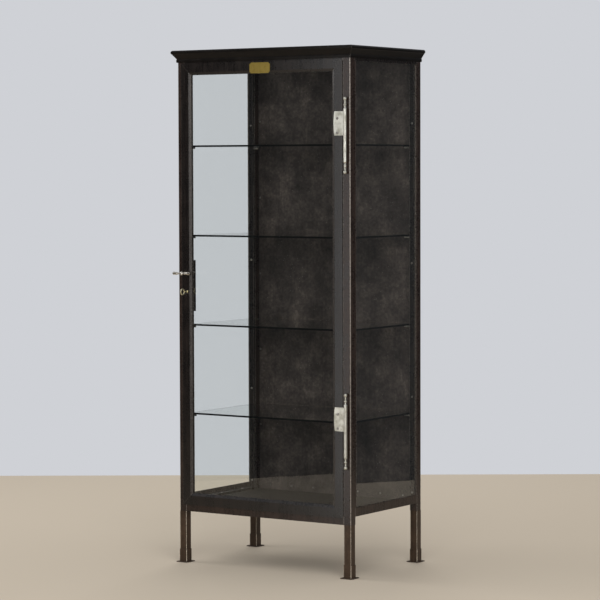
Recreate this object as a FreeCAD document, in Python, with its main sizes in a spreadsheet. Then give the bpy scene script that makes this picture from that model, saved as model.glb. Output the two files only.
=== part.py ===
import FreeCAD
import Part
import Sketcher
import math
import os

DOC = FreeCAD.newDocument("medical_cabinet")
SHEET = DOC.addObject("Spreadsheet::Sheet", "Sizes")
LEFT_TURN = 1
RIGHT_TURN = -1

# Sizes in millimetres
SIZES = (
    # Overall
    ("total_height", 1750),
    ("body_width", 696),
    ("body_depth", 450),
    ("deck_level", 206.5),
    ("head_drop", 50),
    # Posts, legs and feet
    ("post_side", 28),
    ("post_wall", 1.5),
    ("post_arris", 5.5),
    ("side_lip", 6),
    ("back_lip", 10),
    ("leg_side", 27),
    ("leg_wall", 2),
    ("leg_corner", 1.5),
    ("spigot_length", 40),
    ("spigot_root", 10),
    ("spigot_corner", 4.2),
    ("socket_gap", 0.1),
    ("plate_side", 46),
    ("plate_thick", 3),
    ("plate_edge", 1),
    ("sleeve_wall", 1.6),
    ("sleeve_corner", 2.5),
    ("sleeve_height", 45),
    ("sleeve_edge", 0.8),
    # Rails and sheets
    ("rail_thick", 2.5),
    ("rail_height", 29),
    ("sheet_thick", 1.5),
    ("sheet_gap", 0.3),
    ("deck_setback", 16),
    # Cornice
    ("cornice_height", 41),
    ("cornice_overhang", 17),
    ("cornice_sheet", 2),
    ("cornice_lap", 8),
    ("nose_radius", 7),
    ("neck_height", 12),
    ("neck_proud", 2),
    ("neck_round", 15.6),
    # Side glazing and shelves
    ("pane_thick", 4),
    ("pane_gap", 0.3),
    ("bar_width", 20),
    ("bar_thick", 8),
    ("shelf_headroom", 19.5),
    ("shelf_thick", 6),
    ("shelf_front", 30),
    ("shelf_rear", 24),
    ("shelf_gap", 1.5),
    ("peg_radius", 3),
    ("peg_reach", 22),
    # Door
    ("face_proud", 2.5),
    ("lock_lap", 12),
    ("door_lap", 6),
    ("hinge_gap", 1.5),
    ("box_gap", 2),
    ("door_lip", 2),
    ("member_width", 40),
    ("member_depth", 15.5),
    ("member_wall", 1.5),
    ("bevel_width", 9),
    ("bevel_depth", 4.5),
    ("nose_back", 7),
    ("rebate", 8),
    ("glass_gap", 0.4),
    ("name_width", 81.5),
    ("name_height", 36),
    ("name_thick", 1.2),
    ("name_scoop", 5),
    ("name_drop", 4),
    # Hinges
    ("hinge_inset", 14.6),
    ("barrel_radius", 6),
    ("barrel_half", 86),
    ("knuckle_gap", 0.15),
    ("upper_hinge_drop", 294),
    ("lower_hinge_rise", 280),
    ("leaf_reach", 44),
    ("leaf_bow", 261),
    ("leaf_end", 2),
    ("leaf_height", 79),
    ("leaf_thick", 2.5),
    ("lug_width", 4),
    ("lug_offset", 4.5),
    ("lug_height", 70),
    ("pin_radius", 3),
    ("pin_seat_gap", 0.03),
    ("pin_run_gap", 0.06),
    ("pin_half", 60),
    ("finial_ring", 2.5),
    ("finial_ring_height", 3),
    ("finial_ring_level", 12.5),
    ("finial_ball", 5.8),
    ("finial_length", 39),
    # Lock
    ("lock_inset", 41),
    ("handle_drop", 756),
    ("key_drop", 63),
    ("lock_left", 9.5),
    ("lock_right", 14.5),
    ("lock_above", 44),
    ("lock_below", 130),
    ("lock_plate", 1.5),
    ("lock_depth", 12),
    ("lock_wall", 1.2),
    ("lock_round", 2),
    ("bolt_gap", 0.3),
    ("bolt_length", 19.2),
    ("bolt_height", 12),
    ("latch_thick", 4.5),
    ("latch_setback", 6.8),
    ("latch_rise", 5.4),
    ("dead_thick", 5),
    ("dead_setback", 3),
    ("dead_rise", 8.3),
    ("notch_gap", 0.65),
    ("strike_thick", 1.2),
    ("strike_front", 15),
    ("strike_width", 12),
    ("strike_margin", 6),
    ("slot_gap", 0.8),
    # Handle and follower
    ("handle_reach", 36.5),
    ("handle_half", 36),
    ("handle_ball", 6.75),
    ("handle_neck_reach", 12),
    ("handle_grip", 13),
    ("handle_end", 5),
    ("stem_radius", 5),
    ("stem_gap", 0.06),
    ("spindle_side", 7),
    ("spindle_gap", 0.03),
    ("spindle_end", 6),
    ("boss_radius", 5.94),
    ("boss_gap", 0.06),
    ("hub_radius", 6.2),
    ("hub_start", 2),
    ("hub_thick", 4.3),
    ("crank_radius", 7),
    ("crank_lobe", 2.6),
    ("crank_pin", 1.75),
    ("crank_pin_length", 4.7),
    ("rosette_radius", 10),
    ("rosette_thick", 2.5),
    ("passage_radius", 5.5),
    # Key and escutcheon
    ("key_reach", 44),
    ("bow_radius", 9.5),
    ("bow_wire", 1.7),
    ("bow_half", 1.5),
    ("key_shank", 2.5),
    ("key_collar", 4),
    ("key_gap", 0.06),
    ("key_end", 9),
    ("bit_radius", 7.8),
    ("bit_thick", 2.2),
    ("bit_ward", 2.2),
    ("keyhole_gap", 0.7),
    ("escutcheon_half", 7),
    ("escutcheon_rise", 12),
    ("escutcheon_thick", 1.5),
)


class Size:
    """A length together with the sheet formula that gives it."""

    def __init__(self, value, formula):
        self.value = value
        self.formula = formula

    def joined(self, other, value, sign):
        return Size(value, "(%s %s %s)" % (self.formula, sign, other.formula))

    def __add__(self, other):
        other = as_size(other)
        return self.joined(other, self.value + other.value, "+")

    def __sub__(self, other):
        other = as_size(other)
        return self.joined(other, self.value - other.value, "-")

    def __mul__(self, other):
        other = as_size(other)
        return self.joined(other, self.value * other.value, "*")

    def __truediv__(self, other):
        other = as_size(other)
        return self.joined(other, self.value / other.value, "/")

    def __neg__(self):
        return Size(-self.value, "(0 - %s)" % self.formula)


def as_size(amount):
    if isinstance(amount, Size):
        return amount
    return Size(float(amount), "%.6f" % amount)


class Dimensions:
    """The named sizes of the cabinet, one sheet row each."""

    def __init__(self, rows):
        for row, (name, value) in enumerate(rows, 1):
            SHEET.set("A%d" % row, name)
            SHEET.set("B%d" % row, "%g" % value)
            SHEET.setAlias("B%d" % row, name)
            setattr(self, name, Size(float(value), "Sizes." + name))


d = Dimensions(SIZES)
DOC.recompute()
ZERO = as_size(0)
NODES = []

# Places that several pieces share
left = -d.body_width / 2
right = d.body_width / 2
plate_overhang = (d.plate_side - d.post_side) / 2
front = (d.key_reach - d.body_depth - plate_overhang) / 2
back = front + d.body_depth
post_foot = d.deck_level - d.rail_height
post_top = d.total_height - d.cornice_sheet
head_level = d.total_height - d.head_drop
handle_level = d.total_height - d.handle_drop
rail_top = d.deck_level - d.rail_thick + d.rail_height
deck_top = d.deck_level + d.sheet_thick
spigot_side = d.post_side - (d.post_wall + d.socket_gap) * 2
bar_edge = d.rail_thick + d.pane_gap * 2 + d.pane_thick + d.bar_width
door_left = left + d.post_side - d.lock_lap
door_right = right - d.post_side - d.hinge_gap
door_width = door_right - door_left
door_bottom = d.deck_level - d.door_lap
door_top = head_level + d.door_lap
door_height = door_top - door_bottom
door_face = front - d.face_proud
door_back = door_face + d.member_depth
hinge_x = right - d.hinge_inset
hinge_y = door_face - d.barrel_radius
lock_x = left + d.lock_inset
key_level = handle_level - d.key_drop
shelf_pitch = (d.total_height - d.shelf_headroom - d.deck_level) / 5
crank_offset = d.crank_radius * math.sqrt(0.5)


def new_body(label):
    body = DOC.addObject("PartDesign::Body", label)
    body.Label = label
    return body


def node(item):
    """Hands the piece in as a node of its own."""
    NODES.append(item)
    return item


def place(item, x, y, z, turn=0, axis=(0, 0, 1)):
    item.Placement.Rotation = FreeCAD.Rotation(FreeCAD.Vector(*axis), turn)
    for name, amount in (("x", x), ("y", y), ("z", z)):
        item.setExpression("Placement.Base." + name, amount.formula)


def new_sketch(body, role, offset=None):
    sketch = body.newObject("Sketcher::SketchObject", "sketch")
    for plane in body.Origin.OriginFeatures:
        if plane.Role == role:
            sketch.AttachmentSupport = [(plane, "")]
    sketch.MapMode = "FlatFace"
    if offset is not None:
        sketch.setExpression("AttachmentOffset.Base.z", offset.formula)
    return sketch


def bound(sketch, kind, geometry, amount, point=None):
    if point is None:
        rule = Sketcher.Constraint(kind, geometry, amount.value)
    else:
        rule = Sketcher.Constraint(kind, geometry, point, amount.value)
    index = sketch.addConstraint(rule)
    sketch.setExpression("Constraints[%d]" % index, amount.formula)


def arc_between(start, end, radius, turn):
    """The shorter arc from start to end, bending to the left or to the right."""
    chord = end - start
    rise = math.sqrt(max(radius ** 2 - (chord.Length / 2) ** 2, 0))
    normal = FreeCAD.Vector(-chord.y, chord.x, 0).normalize()
    centre = (start + end) * 0.5 + normal * (rise * turn)
    first, last = (start, end) if turn == LEFT_TURN else (end, start)
    low = math.atan2(first.y - centre.y, first.x - centre.x)
    high = math.atan2(last.y - centre.y, last.x - centre.x)
    if high < low:
        high += 2 * math.pi
    return Part.ArcOfCircle(Part.Circle(centre, FreeCAD.Vector(0, 0, 1), radius), low, high)


def outline(sketch, corners, arcs=None):
    """Closes an outline through the corners. arcs: number of the first corner to radius and turn."""
    arcs = arcs or {}
    corners = [(as_size(x), as_size(y)) for x, y in corners]
    points = [FreeCAD.Vector(x.value, y.value, 0) for x, y in corners]
    edges = []
    for number, start in enumerate(points):
        end = points[(number + 1) % len(points)]
        if number in arcs:
            radius, turn = arcs[number]
            index = sketch.addGeometry(arc_between(start, end, radius.value, turn))
            edges.append((index, 1, 2) if turn == LEFT_TURN else (index, 2, 1))
        else:
            index = sketch.addGeometry(Part.LineSegment(start, end))
            edges.append((index, 1, 2))
    for number, (index, first, last) in enumerate(edges):
        before = edges[number - 1]
        sketch.addConstraint(Sketcher.Constraint("Coincident", before[0], before[2], index, first))
        bound(sketch, "DistanceX", index, corners[number][0], first)
        bound(sketch, "DistanceY", index, corners[number][1], first)
        if number in arcs:
            bound(sketch, "Radius", index, arcs[number][0])


def rectangle(sketch, low, high):
    outline(sketch, [low, (high[0], low[1]), high, (low[0], high[1])])


def rounded(sketch, low, high, radii):
    """A rectangle with rounded corners, counter-clockwise from the low one. None stays sharp."""
    low = [as_size(value) for value in low]
    high = [as_size(value) for value in high]
    spots = (
        (low[0], low[1], 1, 1),
        (high[0], low[1], -1, 1),
        (high[0], high[1], -1, -1),
        (low[0], high[1], 1, -1),
    )
    corners = []
    arcs = {}
    for number, (x, y, along, up) in enumerate(spots):
        radius = radii[number]
        if radius is None:
            corners.append((x, y))
            continue
        on_side = (x + radius * along, y)
        on_upright = (x, y + radius * up)
        arcs[len(corners)] = (radius, LEFT_TURN)
        corners.extend((on_upright, on_side) if number in (0, 2) else (on_side, on_upright))
    outline(sketch, corners, arcs)


def circle(sketch, x, y, radius):
    centre = FreeCAD.Vector(as_size(x).value, as_size(y).value, 0)
    index = sketch.addGeometry(Part.Circle(centre, FreeCAD.Vector(0, 0, 1), radius.value))
    bound(sketch, "DistanceX", index, as_size(x), 3)
    bound(sketch, "DistanceY", index, as_size(y), 3)
    bound(sketch, "Radius", index, radius)


def pad(body, sketch, length):
    feature = body.newObject("PartDesign::Pad", "pad")
    feature.Profile = (sketch, [""])
    feature.setExpression("Length", length.formula)
    return feature


def pocket(body, sketch, depth=None):
    """Cuts against the sketch's normal: to a depth, or through all."""
    feature = body.newObject("PartDesign::Pocket", "pocket")
    feature.Profile = (sketch, [""])
    if depth is None:
        feature.Type = "ThroughAll"
    else:
        feature.setExpression("Length", depth.formula)
    return feature


def revolve(body, sketch, axis):
    feature = body.newObject("PartDesign::Revolution", "revolution")
    feature.Profile = (sketch, [""])
    feature.ReferenceAxis = (sketch, [axis])
    feature.Angle = 360
    return feature


def soften(body, kind, size_name, amount, wanted):
    """Fillets or chamfers the edges whose box the test wants."""
    DOC.recompute()
    base = body.Tip
    names = []
    for number, edge in enumerate(base.Shape.Edges, 1):
        if wanted(edge.BoundBox):
            names.append("Edge%d" % number)
    feature = body.newObject("PartDesign::" + kind, kind.lower())
    feature.Base = (base, names)
    feature.setExpression(size_name, amount.formula)
    return feature


def box(label, x, y, z, length, width, height):
    item = DOC.addObject("Part::Box", label)
    item.Label = label
    for name, amount in (("Length", length), ("Width", width), ("Height", height)):
        item.setExpression(name, amount.formula)
    place(item, x, y, z)
    return item


def group(label, members):
    item = DOC.addObject("Part::Compound", label)
    item.Label = label
    item.Links = members
    return item


# Posts: a folded square tube with one rounded arris and lips that hold the panes and the back
def make_post(label, x, y, turn, lip_on_x, lip_on_y):
    body = node(new_body(label))
    sketch = new_sketch(body, "XY_Plane")
    far = d.post_side - d.post_wall
    rounded(sketch, (ZERO, ZERO), (d.post_side, d.post_side), (d.post_arris, None, None, None))
    rounded(sketch, (d.post_wall, d.post_wall), (far, far), (d.post_arris - d.post_wall, None, None, None))
    pad(body, sketch, post_top - post_foot)
    if lip_on_x is not None:
        sketch = new_sketch(body, "XY_Plane", rail_top - post_foot)
        rectangle(sketch, (far, ZERO), (d.post_side + lip_on_x, d.rail_thick))
        pad(body, sketch, head_level - rail_top)
    if lip_on_y is not None:
        sketch = new_sketch(body, "XY_Plane", rail_top - post_foot)
        rectangle(sketch, (ZERO, far), (d.rail_thick, d.post_side + lip_on_y))
        pad(body, sketch, head_level - rail_top)
    place(body, x, y, post_foot, turn)
    return body


def bolt_slots(body, role, base_y, base_z, gap, depth):
    """Cuts the two openings that the latch bolt and the dead bolt pass."""
    sketch = new_sketch(body, role[0], role[1])
    for setback, thick, rise in (
        (d.latch_setback, d.latch_thick, d.latch_rise),
        (d.dead_setback, d.dead_thick, d.dead_rise - d.key_drop),
    ):
        low = (base_y + setback - gap, base_z + rise - gap)
        high = (base_y + setback + thick + gap, base_z + rise + d.bolt_height + gap)
        rectangle(sketch, low, high)
    return pocket(body, sketch, depth)


post = make_post("post_front_left", left, front, 0, None, d.side_lip)
bolt_slots(
    post,
    ("YZ_Plane", d.post_side + 1),
    door_back - front,
    handle_level - post_foot,
    d.slot_gap,
    d.post_side / 2,
)
make_post("post_front_right", right, front, 90, d.side_lip, None)
make_post("post_rear_left", left, back, -90, d.side_lip, d.back_lip)
make_post("post_rear_right", right, back, 180, d.back_lip, d.side_lip)


# Legs carry the posts on a shoulder with a spigot, and each foot is a sleeve on a square plate
def make_leg(side, x, y):
    body = node(new_body("leg_" + side))
    shoulder = post_foot - d.plate_thick
    for start, length, side_length, corner in (
        (ZERO, shoulder, d.leg_side, d.leg_corner),
        (shoulder - d.spigot_root, d.spigot_root + d.spigot_length, spigot_side, d.spigot_corner),
    ):
        sketch = new_sketch(body, "XY_Plane", start)
        half = side_length / 2
        inner = half - d.leg_wall
        rounded(sketch, (-half, -half), (half, half), (corner,) * 4)
        rectangle(sketch, (-inner, -inner), (inner, inner))
        pad(body, sketch, length)
    place(body, x, y, d.plate_thick)


def make_foot(side, x, y):
    body = node(new_body("foot_" + side))
    sketch = new_sketch(body, "XY_Plane")
    half = d.plate_side / 2
    rectangle(sketch, (-half, -half), (half, half))
    pad(body, sketch, d.plate_thick)
    top = d.plate_thick.value
    soften(body, "Chamfer", "Size", d.plate_edge, lambda b: b.ZMin > top - 0.01)
    sketch = new_sketch(body, "XY_Plane", d.plate_thick - d.plate_edge)
    inner = d.leg_side / 2 + d.socket_gap
    outer = inner + d.sleeve_wall
    rounded(sketch, (-outer, -outer), (outer, outer), (d.sleeve_corner,) * 4)
    rectangle(sketch, (-inner, -inner), (inner, inner))
    pad(body, sketch, d.sleeve_height - d.plate_thick + d.plate_edge)
    rim = d.sleeve_height.value
    reach = outer.value - 0.01
    soften(body, "Chamfer", "Size", d.sleeve_edge, lambda b: on_rim(b, rim, reach))
    place(body, x, y, ZERO)


def on_rim(bounds, level, reach):
    """True for an edge of the sleeve's upper outer rim."""
    farthest = max(abs(bounds.XMin), abs(bounds.XMax), abs(bounds.YMin), abs(bounds.YMax))
    return bounds.ZMin > level - 0.01 and farthest > reach


for side, x, y in (
    ("front_left", left + d.post_side / 2, front + d.post_side / 2),
    ("front_right", right - d.post_side / 2, front + d.post_side / 2),
    ("rear_left", left + d.post_side / 2, back - d.post_side / 2),
    ("rear_right", right - d.post_side / 2, back - d.post_side / 2),
):
    make_leg(side, x, y)
    make_foot(side, x, y)


# Rails of angle section run between the posts, heel at the outer face
def make_rail(label, heel, length, x, y, turn, level):
    body = node(new_body(label))
    sketch = new_sketch(body, "YZ_Plane")
    foot, flange_low, flange_high, top = heel
    web = d.rail_thick
    corners = [(ZERO, foot), (web, foot)]
    if flange_low.value > foot.value:
        corners += [(web, flange_low), (d.post_side, flange_low), (d.post_side, flange_high)]
    else:
        corners += [(d.post_side, foot), (d.post_side, flange_high), (web, flange_high), (web, top)]
    corners += [(ZERO, top)]
    outline(sketch, corners)
    pad(body, sketch, length)
    place(body, x, y, level, turn)


inner_left = left + d.post_side
inner_right = right - d.post_side
inner_front = front + d.post_side
inner_back = back - d.post_side
inner_width = inner_right - inner_left
inner_depth = inner_back - inner_front
hanging = (-d.rail_height, -d.rail_thick, ZERO, ZERO)
standing = (-d.rail_thick, -d.rail_thick, ZERO, d.rail_height - d.rail_thick)
heading = (head_level - post_top, -d.rail_thick, ZERO, ZERO)
for name, heel, level in (("bottom_rail_", standing, d.deck_level), ("top_rail_", heading, post_top)):
    front_heel = hanging if heel is standing else heading
    make_rail(name + "front", front_heel, inner_width, inner_left, front, 0, level)
    make_rail(name + "right", heel, inner_depth, right, inner_front, 90, level)
    make_rail(name + "rear", heel, inner_width, inner_right, back, 180, level)
    make_rail(name + "left", heel, inner_depth, left, inner_back, -90, level)


# Cornice: pressed sheet with a rounded nosing, a splay and a neck bead, mitred at the front corners
def cornice_profile(sketch):
    """Draws height against overhang, both from the outer face's top edge."""
    swing = math.radians(60)
    nose_x = d.cornice_overhang - d.nose_radius
    inside = d.nose_radius - d.cornice_sheet
    splay_x = nose_x + d.nose_radius * math.cos(swing)
    splay_z = -d.nose_radius * (1 + math.sin(swing))
    lining_x = nose_x + inside * math.cos(swing)
    lining_z = -d.nose_radius - inside * math.sin(swing)
    bead_top = d.neck_height - d.cornice_height
    corners = [
        (ZERO, -d.cornice_height),
        (d.neck_proud, -d.cornice_height),
        (d.neck_proud, bead_top),
        (splay_x, splay_z),
        (nose_x, ZERO),
        (-d.cornice_lap, ZERO),
        (-d.cornice_lap, -d.cornice_sheet),
        (nose_x, -d.cornice_sheet),
        (lining_x, lining_z),
        (ZERO, bead_top + 0.6),
    ]
    arcs = {
        1: (d.neck_round, LEFT_TURN),
        3: (d.nose_radius, LEFT_TURN),
        7: (inside, RIGHT_TURN),
    }
    turned = [(-x, z) for x, z in corners]
    swapped = {number: (radius, -turn) for number, (radius, turn) in arcs.items()}
    outline(sketch, turned, swapped)


def make_cornice(label, length, start, mitred_end, x, y, turn):
    body = node(new_body(label))
    sketch = new_sketch(body, "YZ_Plane", start)
    cornice_profile(sketch)
    pad(body, sketch, length)
    over = d.cornice_overhang + 1
    lap = d.cornice_lap + 1
    sketch = new_sketch(body, "XY_Plane", as_size(1))
    outline(sketch, [(-over, -over), (lap, lap), (-over, lap)])
    if mitred_end is not None:
        far = mitred_end
        outline(sketch, [(far + over, -over), (far + over, lap), (far - lap, lap)])
    pocket(body, sketch)
    place(body, x, y, d.total_height, turn)


def make_side_cornice(label, x, y, turn, end_first):
    """A side length: mitred at the front, cut square at the back."""
    body = node(new_body(label))
    sketch = new_sketch(body, "YZ_Plane", -d.cornice_overhang if not end_first else -d.body_depth)
    cornice_profile(sketch)
    pad(body, sketch, d.body_depth + d.cornice_overhang)
    over = d.cornice_overhang + 1
    lap = d.cornice_lap + 1
    sign = 1 if end_first else -1
    sketch = new_sketch(body, "XY_Plane", as_size(1))
    outline(sketch, [(over * sign, -over), (over * sign, lap), (-lap * sign, lap)])
    pocket(body, sketch)
    place(body, x, y, d.total_height, turn)


front_length = d.body_width + d.cornice_overhang * 2
make_cornice("cornice_front", front_length, -d.cornice_overhang, d.body_width, left, front, 0)
make_side_cornice("cornice_right", right, front, 90, False)
make_side_cornice("cornice_left", left, front, -90, True)

# Top, bottom and back sheets
node(box(
    "top_sheet",
    left + d.cornice_lap + d.sheet_gap,
    front + d.cornice_lap + d.sheet_gap,
    post_top,
    d.body_width - (d.cornice_lap + d.sheet_gap) * 2,
    d.body_depth - d.cornice_lap - d.sheet_gap,
    d.sheet_thick,
))
deck = node(new_body("bottom_sheet"))
deck_x = d.body_width / 2 - d.rail_thick - d.sheet_gap
deck_rear = d.body_depth - d.rail_thick - d.sheet_gap
notch_x = d.body_width / 2 - d.post_side - d.sheet_gap
notch_front = d.post_side + d.sheet_gap
notch_rear = d.body_depth - d.post_side - d.sheet_gap
deck_sketch = new_sketch(deck, "XY_Plane")
outline(deck_sketch, [
    (-notch_x, d.deck_setback),
    (notch_x, d.deck_setback),
    (notch_x, notch_front),
    (deck_x, notch_front),
    (deck_x, notch_rear),
    (notch_x, notch_rear),
    (notch_x, deck_rear),
    (-notch_x, deck_rear),
    (-notch_x, notch_rear),
    (-deck_x, notch_rear),
    (-deck_x, notch_front),
    (-notch_x, notch_front),
])
pad(deck, deck_sketch, d.sheet_thick)
place(deck, ZERO, front, d.deck_level)
panel_top = post_top - d.rail_thick - d.sheet_gap
panel_foot = deck_top + d.sheet_gap
node(box(
    "back_sheet",
    inner_left + d.sheet_gap,
    back - d.rail_thick - d.sheet_thick,
    panel_foot,
    inner_width - d.sheet_gap * 2,
    d.sheet_thick,
    panel_top - panel_foot,
))


# Side panes, the flat bars that hold them, and the pegs welded to the upright bars
def shelf_underside(number):
    return d.deck_level + shelf_pitch * number - d.shelf_thick / 2


def make_peg(label, x, y, level):
    item = DOC.addObject("Part::Cylinder", label)
    item.Label = label
    item.setExpression("Radius", d.peg_radius.formula)
    item.setExpression("Height", d.peg_reach.formula)
    place(item, x, y, level, 90, (0, 1, 0))
    return item


front_bar = inner_front + d.bar_thick / 2
rear_bar = inner_back - d.bar_thick / 2
bar_foot = deck_top + d.bar_thick
bar_top = post_top - d.rail_thick - d.bar_thick
for side, pane_x, bar_x, peg_x in (
    (
        "left",
        left + d.rail_thick + d.pane_gap,
        left + bar_edge - d.bar_width,
        left + bar_edge,
    ),
    (
        "right",
        right - d.rail_thick - d.pane_gap - d.pane_thick,
        right - bar_edge,
        right - bar_edge - d.peg_reach,
    ),
):
    node(box(
        "side_glass_" + side,
        pane_x,
        inner_front + d.sheet_gap,
        panel_foot,
        d.pane_thick,
        inner_depth - d.sheet_gap * 2,
        panel_top - panel_foot,
    ))
    bars = []
    for end, y in (("front", inner_front), ("rear", inner_back - d.bar_thick)):
        label = "bar_%s_%s" % (side, end)
        bars.append(box(label, bar_x, y, bar_foot, d.bar_width, d.bar_thick, bar_top - bar_foot))
    for end, level in (("low", deck_top), ("high", bar_top)):
        label = "bar_%s_%s" % (side, end)
        bars.append(box(label, bar_x, inner_front, level, d.bar_width, inner_depth, d.bar_thick))
    node(group("glazing_bars_" + side, bars))
    pegs = []
    for number in range(1, 5):
        for end, y in (("front", front_bar), ("rear", rear_bar)):
            label = "peg_%s_%s_%d" % (side, end, number)
            pegs.append(make_peg(label, peg_x, y, shelf_underside(number) - d.peg_radius))
    node(group("shelf_pegs_" + side, pegs))

# Glass shelves lie on the pegs
for number in range(1, 5):
    node(box(
        "glass_shelf_%d" % number,
        inner_left + d.shelf_gap,
        front + d.shelf_front,
        shelf_underside(number),
        inner_width - d.shelf_gap * 2,
        d.body_depth - d.shelf_front - d.shelf_rear,
        d.shelf_thick,
    ))


# Door members: hollow, bevelled to the glass, mitred at the corners, with a lip that laps the carcass
def member_profile(sketch, lip, flip, upright):
    """Draws width from the outer edge against depth from the face."""
    width = d.member_width
    flat = width - d.bevel_width
    seat = width - d.rebate
    depth = d.member_depth
    corners = [(ZERO, ZERO), (flat, ZERO), (width, d.bevel_depth), (width, d.nose_back)]
    corners += [(seat, d.nose_back), (seat, depth), (lip, depth)]
    if lip.value > 0:
        corners += [(lip, d.door_lip), (ZERO, d.door_lip)]
    hollow = [
        (lip + d.member_wall, d.door_lip),
        (seat - d.member_wall, d.door_lip),
        (seat - d.member_wall, depth - d.member_wall),
        (lip + d.member_wall, depth - d.member_wall),
    ]
    for path in (corners, hollow):
        if upright:
            outline(sketch, [(u * flip, v) for u, v in path])
        else:
            outline(sketch, [(v, u * flip) for u, v in path])


def through_keyhole(body, offset, x, z, gap):
    """The keyhole: a round for the shank over a slot for the bit."""
    sketch = new_sketch(body, "XZ_Plane", offset)
    circle(sketch, x, z, d.key_shank + gap)
    pocket(body, sketch)
    sketch = new_sketch(body, "XZ_Plane", offset)
    half = d.bit_thick / 2 + d.keyhole_gap / 2
    rectangle(sketch, (x - half, z - d.bit_radius - d.keyhole_gap), (x + half, z))
    pocket(body, sketch)


def make_stile(label, lip, flip, x):
    body = node(new_body(label))
    sketch = new_sketch(body, "XY_Plane")
    member_profile(sketch, lip, flip, True)
    pad(body, sketch, door_height)
    over = as_size(1)
    wide = d.member_width + over
    sketch = new_sketch(body, "XZ_Plane", over)
    outline(sketch, [(-over * flip, -over), (wide * flip, -over), (wide * flip, wide)])
    top = door_height
    outline(sketch, [(-over * flip, top + over), (wide * flip, top - wide), (wide * flip, top + over)])
    pocket(body, sketch)
    lap = d.door_lap + d.box_gap
    sketch = new_sketch(body, "XZ_Plane", -d.door_lip)
    for low, high in ((-over, lap), (top - lap, top + over)):
        rectangle(sketch, (-over * flip, low), (wide * flip, high))
    pocket(body, sketch)
    place(body, x, door_face, door_bottom)
    return body


def make_door_rail(label, flip, level):
    body = node(new_body(label))
    lip = d.door_lap + d.box_gap
    sketch = new_sketch(body, "YZ_Plane")
    member_profile(sketch, lip, flip, False)
    pad(body, sketch, door_width)
    over = as_size(1)
    wide = d.member_width + over
    end = door_width
    sketch = new_sketch(body, "XZ_Plane", over)
    outline(sketch, [(-over, -over * flip), (-over, wide * flip), (wide, wide * flip)])
    outline(sketch, [(end + over, -over * flip), (end + over, wide * flip), (end - wide, wide * flip)])
    pocket(body, sketch)
    sketch = new_sketch(body, "XZ_Plane", -d.door_lip)
    clear = d.lock_lap + d.box_gap
    rectangle(sketch, (-over, -over * flip), (clear, wide * flip))
    pocket(body, sketch)
    place(body, door_left, door_face, level)


lock_stile = make_stile("door_stile_lock", d.lock_lap + d.box_gap, 1, door_left)
lock_sketch = new_sketch(lock_stile, "XZ_Plane", as_size(1))
circle(lock_sketch, lock_x - door_left, handle_level - door_bottom, d.passage_radius)
pocket(lock_stile, lock_sketch)
through_keyhole(lock_stile, as_size(1), lock_x - door_left, key_level - door_bottom, d.keyhole_gap)
make_stile("door_stile_hinge", ZERO, -1, door_right)
make_door_rail("door_rail_bottom", 1, door_bottom)
make_door_rail("door_rail_top", -1, door_top)

# Door glass in the rebate, with bars behind it
seat = d.member_width - d.rebate
glass_in = seat + d.glass_gap
node(box(
    "door_glass",
    door_left + glass_in,
    door_face + d.nose_back,
    door_bottom + glass_in,
    door_width - glass_in * 2,
    d.pane_thick,
    door_height - glass_in * 2,
))
bead_y = door_face + d.nose_back + d.pane_thick
bead_deep = d.member_depth - d.nose_back - d.pane_thick
beads = []
for end, x in (("left", door_left + seat), ("right", door_right - d.member_width)):
    beads.append(box(
        "door_bar_" + end,
        x,
        bead_y,
        door_bottom + seat,
        d.rebate,
        bead_deep,
        door_height - seat * 2,
    ))
for end, z in (("low", door_bottom + seat), ("high", door_top - d.member_width)):
    beads.append(box(
        "door_bar_" + end,
        door_left + d.member_width,
        bead_y,
        z,
        door_width - d.member_width * 2,
        bead_deep,
        d.rebate,
    ))
node(group("door_glazing_bars", beads))

# Bare plate on the door's top rail, with scooped corners
plate = node(new_body("name_plate"))
plate_sketch = new_sketch(plate, "XZ_Plane")
across = d.name_width / 2
inset = across - d.name_scoop
low = -d.name_height
outline(
    plate_sketch,
    [
        (-inset, low),
        (inset, low),
        (across, low + d.name_scoop),
        (across, -d.name_scoop),
        (inset, ZERO),
        (-inset, ZERO),
        (-across, -d.name_scoop),
        (-across, low + d.name_scoop),
    ],
    {1: (d.name_scoop, RIGHT_TURN), 3: (d.name_scoop, RIGHT_TURN), 5: (d.name_scoop, RIGHT_TURN),
     7: (d.name_scoop, RIGHT_TURN)},
)
pad(plate, plate_sketch, d.name_thick)
place(plate, (door_left + door_right) / 2, door_face, door_top - d.name_drop)


# Hinges: a barrel in two halves on one pin, each half ending in a ringed finial
def turned_ball(radius):
    """Radius and level along a ball's outline, turned in two tapers and a land."""
    return [
        (radius * 0.42, -radius * 0.907),
        (radius * 0.94, -radius * 0.34),
        (radius * 0.94, radius * 0.34),
        (radius * 0.42, radius * 0.907),
    ]


def barrel_half(body, bore_gap, pin_end, sign):
    sketch = new_sketch(body, "XZ_Plane")
    bore = d.pin_radius + bore_gap
    end = d.barrel_half
    ball = end + d.finial_length - d.finial_ball * 0.907
    ring = end + d.finial_ring_level
    turned = turned_ball(d.finial_ball)
    neck = turned[0][0]
    path = [
        (bore, d.knuckle_gap),
        (d.barrel_radius, d.knuckle_gap),
        (d.barrel_radius, end),
        (neck, end + 5),
        (neck, ring),
        (neck + d.finial_ring, ring),
        (neck + d.finial_ring, ring + d.finial_ring_height),
        (neck, ring + d.finial_ring_height),
    ]
    path += [(x, ball + z) for x, z in turned]
    path += [
        (ZERO, end + d.finial_length),
        (ZERO, pin_end),
        (bore, pin_end),
    ]
    outline(sketch, [(x, as_size(z) * sign) for x, z in path])
    revolve(body, sketch, "V_Axis")


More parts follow.
